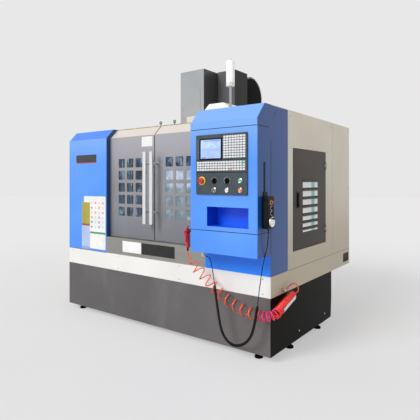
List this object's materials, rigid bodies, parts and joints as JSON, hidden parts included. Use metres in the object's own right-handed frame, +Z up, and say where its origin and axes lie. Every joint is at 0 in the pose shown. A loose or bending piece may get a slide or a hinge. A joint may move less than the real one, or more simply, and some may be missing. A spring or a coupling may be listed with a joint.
{
  "type": "vertical machining centre",
  "caption": "Enclosed milling machine with sliding doors, a control cabinet, a hand pendant, an air gun on a recoil hose and a tool magazine above the roof.",
  "frame": {"origin": "on the floor under the middle of the machine's box, cables left out", "axes": "+X to the machine's right along its front, +Y from the front to the back, +Z up"},
  "size_m": [2.276, 1.7774, 2.238],
  "materials": {
    "cast_paint": "satin",
    "plinth_paint": "satin",
    "white_paint": "satin",
    "cream_paint": "satin",
    "blue_paint": "satin",
    "door_paint": "satin",
    "dark_paint": "satin",
    "liner_steel": "brushed",
    "machined_steel": "ground",
    "bright_aluminium": "satin",
    "window_pane": "clear",
    "panel_foil": "matt",
    "screen_glass": "clear",
    "red_plastic": "gloss",
    "black_plastic": "matt",
    "green_plastic": "gloss",
    "white_plastic": "gloss",
    "orange_plastic": "gloss",
    "hose_plastic": "gloss",
    "cable_rubber": "matt",
    "plated_steel": "plated",
    "motor_paint": "satin"
  },
  "bodies": {
    "frame": {"bed_casting": "cast_paint", "levelling_feet": "motor_paint", "base_skirt": "plinth_paint", "lower_band": "white_paint", "chip_tray": "liner_steel", "rear_liner": "liner_steel", "left_front_panel": "blue_paint", "left_side_panel": "cream_paint", "right_corner_panel": "blue_paint", "right_side_panel": "cream_paint", "back_panel": "cream_paint", "roof_panel": "white_paint", "door_sill": "liner_steel", "door_rails": "machined_steel", "signal_tower": "white_plastic", "control_cabinet": "blue_paint", "control_hood": "blue_paint", "control_panel": "panel_foil", "screen": "screen_glass", "pendant_case": "black_plastic", "cable_connector": "plated_steel", "pendant_lead_upper": "cable_rubber", "pendant_curly_cord": "cable_rubber", "pendant_lead_lower": "cable_rubber", "hose_loose_coil": "hose_plastic", "hose_tight_coil": "hose_plastic", "hose_tail": "hose_plastic", "air_fitting": "plated_steel", "air_gun": "red_plastic", "electrical_box": "liner_steel", "mounting_plate": "plated_steel", "column": "cast_paint", "magazine_housing": "motor_paint"},
    "left_door": {"left_door": "door_paint", "left_door_window": "window_pane", "left_door_handle": "bright_aluminium"},
    "right_door": {"right_door": "door_paint", "right_door_window": "window_pane", "right_door_handle": "bright_aluminium"},
    "cabinet_door": {"cabinet_door": "dark_paint"},
    "saddle": {"saddle": "cast_paint"},
    "table": {"table": "machined_steel"},
    "head": {"headstock": "cast_paint", "spindle_motor": "motor_paint", "head_cover": "cream_paint"},
    "cabinet_latch": {"cabinet_latch": "black_plastic"},
    "spindle": {"spindle": "machined_steel"},
    "magazine_disc": {"magazine_disc": "motor_paint"},
    "emergency_stop": {"emergency_stop": "red_plastic"},
    "mode_selector": {"mode_selector": "black_plastic"},
    "feed_selector": {"feed_selector": "black_plastic"},
    "key_switch": {"key_switch": "plated_steel"},
    "cycle_start_button": {"cycle_start_button": "green_plastic"},
    "program_stop_button": {"program_stop_button": "white_plastic"},
    "feed_hold_button": {"feed_hold_button": "orange_plastic"},
    "pendant_stop": {"pendant_stop": "red_plastic"},
    "pendant_axis_knob": {"pendant_axis_knob": "black_plastic"},
    "pendant_step_knob": {"pendant_step_knob": "black_plastic"},
    "pendant_handwheel": {"pendant_handwheel": "bright_aluminium"},
    "air_gun_trigger": {"air_gun_trigger": "red_plastic"}
  },
  "joints": [
    {"name": "left_door_slide", "type": "slide", "parent": "frame", "child": "left_door", "axis": [1, 0, 0], "range_m": [-0.48, 0]},
    {"name": "right_door_slide", "type": "slide", "parent": "frame", "child": "right_door", "axis": [1, 0, 0], "range_m": [0, 0.48]},
    {"name": "cabinet_door_hinge", "type": "hinge", "parent": "frame", "child": "cabinet_door", "pos_m": [1.07, 0.29365, 0.82], "axis": [0, 0, 1], "range_deg": [0, 110]},
    {"name": "cabinet_latch_turn", "type": "hinge", "parent": "cabinet_door", "child": "cabinet_latch", "pos_m": [1.065, -0.25035, 1.12], "axis": [1, 0, 0], "range_deg": [0, 90]},
    {"name": "y_axis", "type": "slide", "parent": "frame", "child": "saddle", "axis": [0, 1, 0], "range_m": [-0.19, 0.19]},
    {"name": "x_axis", "type": "slide", "parent": "saddle", "child": "table", "axis": [1, 0, 0], "range_m": [-0.25, 0.25]},
    {"name": "z_axis", "type": "slide", "parent": "frame", "child": "head", "axis": [0, 0, 1], "range_m": [-0.4, 0]},
    {"name": "spindle_turn", "type": "hinge", "parent": "head", "child": "spindle", "pos_m": [-0.035, -0.02435, 1.33], "axis": [0, 0, 1], "continuous": true},
    {"name": "magazine_turn", "type": "hinge", "parent": "frame", "child": "magazine_disc", "pos_m": [0.227, 0.39565, 2.04], "axis": [1, 0, 0], "continuous": true},
    {"name": "emergency_stop_press", "type": "slide", "parent": "frame", "child": "emergency_stop", "axis": [0, 1, 0], "range_m": [0, 0.005]},
    {"name": "pendant_stop_press", "type": "slide", "parent": "frame", "child": "pendant_stop", "axis": [-1, 0, 0], "range_m": [0, 0.004]},
    {"name": "pendant_axis_turn", "type": "hinge", "parent": "frame", "child": "pendant_axis_knob", "pos_m": [1.11, -0.75335, 1.046], "axis": [1, 0, 0], "range_deg": [-90, 60]},
    {"name": "pendant_step_turn", "type": "hinge", "parent": "frame", "child": "pendant_step_knob", "pos_m": [1.11, -0.75335, 1.014], "axis": [1, 0, 0], "range_deg": [-60, 60]},
    {"name": "pendant_handwheel_turn", "type": "hinge", "parent": "frame", "child": "pendant_handwheel", "pos_m": [1.11, -0.75335, 0.958], "axis": [1, 0, 0], "continuous": true},
    {"name": "air_gun_trigger_pull", "type": "hinge", "parent": "frame", "child": "air_gun_trigger", "pos_m": [0.479, -0.85335, 0.844], "axis": [1, 0, 0], "range_deg": [0, 10], "stiffness_Nm_per_rad": 0.5},
    {"name": "cycle_start_press", "type": "slide", "parent": "frame", "child": "cycle_start_button", "axis": [0, 1, 0], "range_m": [0, 0.003], "stiffness_N_per_m": 1000},
    {"name": "program_stop_press", "type": "slide", "parent": "frame", "child": "program_stop_button", "axis": [0, 1, 0], "range_m": [0, 0.003], "stiffness_N_per_m": 1000},
    {"name": "feed_hold_press", "type": "slide", "parent": "frame", "child": "feed_hold_button", "axis": [0, 1, 0], "range_m": [0, 0.003], "stiffness_N_per_m": 1000},
    {"name": "mode_selector_turn", "type": "hinge", "parent": "frame", "child": "mode_selector", "pos_m": [0.737, -0.86035, 1.222], "axis": [0, 1, 0], "range_deg": [-105, 105]},
    {"name": "feed_selector_turn", "type": "hinge", "parent": "frame", "child": "feed_selector", "pos_m": [0.841, -0.86035, 1.222], "axis": [0, 1, 0], "range_deg": [-150, 150]},
    {"name": "key_switch_turn", "type": "hinge", "parent": "frame", "child": "key_switch", "pos_m": [0.737, -0.86035, 1.16], "axis": [0, 1, 0], "range_deg": [0, 90]}
  ]
}
